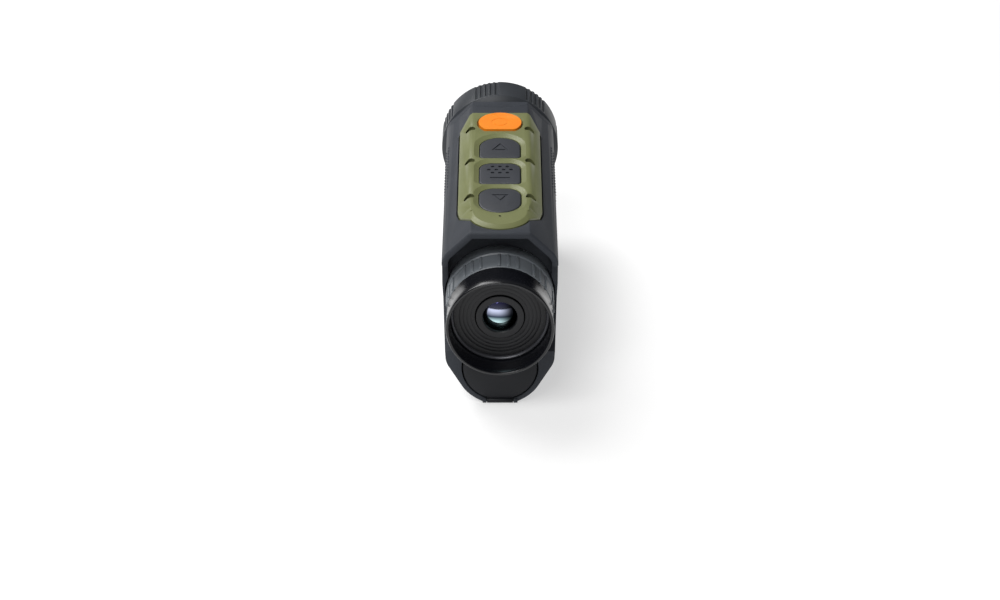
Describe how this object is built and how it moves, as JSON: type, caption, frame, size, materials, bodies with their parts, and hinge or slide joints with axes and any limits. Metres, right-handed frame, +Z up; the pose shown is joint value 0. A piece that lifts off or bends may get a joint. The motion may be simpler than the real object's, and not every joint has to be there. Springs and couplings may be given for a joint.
{
  "type": "laser rangefinder",
  "caption": "Hand-held one-eyed digital viewer with a built-in laser rangefinder, a focusing objective, a dioptre eyepiece with eyecup and a top button panel.",
  "frame": {"origin": "under the middle of the object's box, on the plane it stands on", "axes": "+X to the user's right, +Y forward along the line of sight, +Z up"},
  "size_m": [0.0502, 0.152, 0.0748],
  "materials": {
    "shell": "moulded glass-filled nylon, fine satin texture",
    "ring": "moulded nylon, fine satin texture",
    "door": "moulded nylon, fine satin texture",
    "panel": "moulded olive plastic with a soft-touch coat",
    "power_key": "moulded silicone, satin",
    "key": "moulded silicone, satin",
    "eyecup": "moulded rubber, satin",
    "anodised": "black anodised aluminium, satin",
    "coated_glass": "multi-coated optical glass",
    "germanium": "polished germanium with a hard coat",
    "face": "polished black polycarbonate",
    "steel": "turned stainless steel",
    "spreader": "stamped aluminium",
    "brass": "turned brass",
    "gold": "gold plate",
    "board": "glass-epoxy board with solder mask",
    "chip": "moulded epoxy package",
    "display": "micro display under glass",
    "inner_plastic": "moulded ABS",
    "case": "moulded polycarbonate battery case",
    "cell_wrap": "heat-shrunk PVC wrap",
    "seal": "moulded silicone seal",
    "clear": "clear acrylic light pipe",
    "ribbon": "polyimide flexible circuit"
  },
  "bodies": {
    "housing": {"main_housing": "shell", "front_housing": "shell", "housing_screws": "steel", "button_bezel": "panel", "button_board": "board", "dome_switches": "steel", "board_screws": "steel", "light_pipe": "clear", "tripod_insert": "brass", "battery_sleeve": "inner_plastic", "battery_case": "case", "battery_cell": "cell_wrap", "battery_contacts": "gold", "door_hinge_pin": "steel", "main_board": "board", "board_chips": "chip", "heat_spreader": "spreader", "usb_port": "steel", "display_ribbon": "ribbon", "sensor_board": "board", "thermal_sensor": "chip", "shutter_motor": "anodised", "objective_barrel": "anodised", "barrel_seal": "seal", "rangefinder_face": "face", "emitter_window": "coated_glass", "receiver_window": "coated_glass", "emitter_tube": "anodised", "receiver_tube": "anodised", "emitter_lens": "coated_glass", "receiver_lens": "coated_glass", "laser_diode": "gold", "detector": "gold", "rangefinder_board": "board", "ocular_barrel": "anodised", "baffle_disc": "anodised", "display_panel": "display", "display_holder": "inner_plastic"},
    "focus": {"focus_ring": "ring"},
    "lens_carriage": {"lens_cell": "anodised", "focus_pins": "steel", "front_lens": "germanium", "rear_lens": "germanium", "lens_retainer": "anodised"},
    "dioptre": {"dioptre_ring": "ring", "eyecup": "eyecup", "eyecup_retainer": "anodised"},
    "ocular": {"ocular_cell": "anodised", "lens_bezel": "anodised", "eye_lens": "coated_glass", "field_lens": "coated_glass"},
    "power": {"power_button": "power_key"},
    "up": {"up_button": "key"},
    "mode": {"mode_button": "key"},
    "down": {"down_button": "key"},
    "door": {"battery_door": "door", "door_seal": "seal"},
    "port_cover": {"usb_cover": "eyecup"},
    "shutter": {"shutter_blade": "anodised"}
  },
  "joints": [
    {"name": "focus_turn", "type": "hinge", "parent": "housing", "child": "focus", "pos_m": [0, 0.0675, 0.04965], "axis": [0, 1, 0], "range_deg": [-110, 110]},
    {"name": "lens_slide", "type": "slide", "parent": "housing", "child": "lens_carriage", "axis": [0, 1, 0], "range_m": [-0.0015, 0.0015]},
    {"name": "dioptre_turn", "type": "hinge", "parent": "housing", "child": "dioptre", "pos_m": [0, -0.055, 0.0403], "axis": [0, 1, 0], "range_deg": [-70, 70]},
    {"name": "ocular_slide", "type": "slide", "parent": "housing", "child": "ocular", "axis": [0, 1, 0], "range_m": [-0.001, 0.001]},
    {"name": "power_press", "type": "slide", "parent": "housing", "child": "power", "axis": [0, 0, -1], "range_m": [0, 0.0006], "stiffness_N_per_m": 1500},
    {"name": "up_press", "type": "slide", "parent": "housing", "child": "up", "axis": [0, 0, -1], "range_m": [0, 0.0006], "stiffness_N_per_m": 1500},
    {"name": "mode_press", "type": "slide", "parent": "housing", "child": "mode", "axis": [0, 0, -1], "range_m": [0, 0.0006], "stiffness_N_per_m": 1500},
    {"name": "down_press", "type": "slide", "parent": "housing", "child": "down", "axis": [0, 0, -1], "range_m": [0, 0.0006], "stiffness_N_per_m": 1500},
    {"name": "door_swing", "type": "hinge", "parent": "housing", "child": "door", "pos_m": [0, -0.0656, 0.0011], "axis": [1, 0, 0], "range_deg": [0, 90]},
    {"name": "cover_swing", "type": "hinge", "parent": "housing", "child": "port_cover", "pos_m": [0.02135, 0.016, 0.0229], "axis": [0, 1, 0], "range_deg": [0, 95]},
    {"name": "shutter_swing", "type": "hinge", "parent": "housing", "child": "shutter", "pos_m": [0.0125, 0.0355, 0.059], "axis": [0, 1, 0], "range_deg": [0, 50]}
  ],
  "couplings": [
    {"joint": "lens_slide", "follows": "focus_turn", "m_per_rad": 0.00078},
    {"joint": "ocular_slide", "follows": "dioptre_turn", "m_per_rad": 0.0008}
  ]
}
